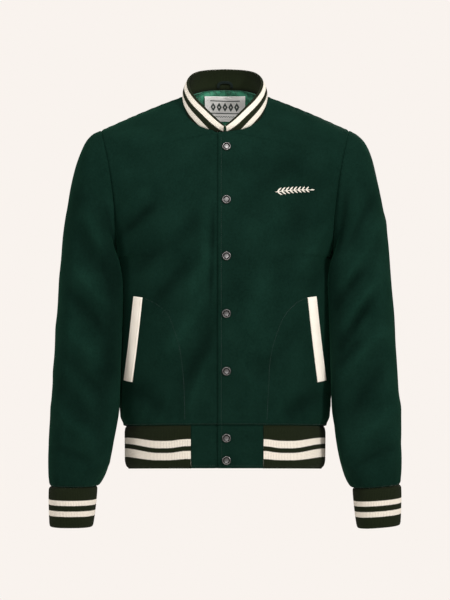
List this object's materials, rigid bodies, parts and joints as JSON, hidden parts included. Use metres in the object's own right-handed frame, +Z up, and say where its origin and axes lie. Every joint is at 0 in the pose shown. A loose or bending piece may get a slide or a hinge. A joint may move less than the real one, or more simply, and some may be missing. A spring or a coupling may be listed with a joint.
{
  "type": "bomber jacket",
  "caption": "Hollow wool bomber jacket with a striped rib-knit stand collar, cuffs and hem, snaps down the front and slanted leather-trimmed pockets",
  "frame": {"origin": "Midway between the two points where the shoulder seams meet the collar, where the wearer's shoulders hold the jacket up", "axes": "+Z up the body, +X to the wearer's left, -Y out of the front. The jacket is longest along Z and thinnest along Y"},
  "size_m": [0.596, 0.265, 0.7772],
  "materials": {
    "wool": "brushed melton wool, matt",
    "rib_knit": "rib knit with two cream stripes",
    "satin": "quilted satin, soft sheen",
    "woven_label": "blank woven label",
    "tape": "woven tape",
    "welt_leather": "smooth cream leather",
    "snap_metal": "antique pewter"
  },
  "bodies": {
    "root": {"front_left": "wool", "front_right": "wool", "back": "wool", "sleeve_left": "wool", "sleeve_right": "wool", "hem_tab_left": "wool", "hem_tab_right": "wool", "cuff_left": "rib_knit", "cuff_right": "rib_knit", "hem_rib": "rib_knit", "collar": "rib_knit", "back_neck_lining": "satin", "neck_label": "woven_label", "hanger_loop": "tape", "pocket_welt_left": "welt_leather", "pocket_welt_right": "welt_leather", "snap_1": "snap_metal", "snap_2": "snap_metal", "snap_3": "snap_metal", "snap_4": "snap_metal", "snap_5": "snap_metal", "snap_6": "snap_metal", "snap_7": "snap_metal"}
  },
  "joints": []
}
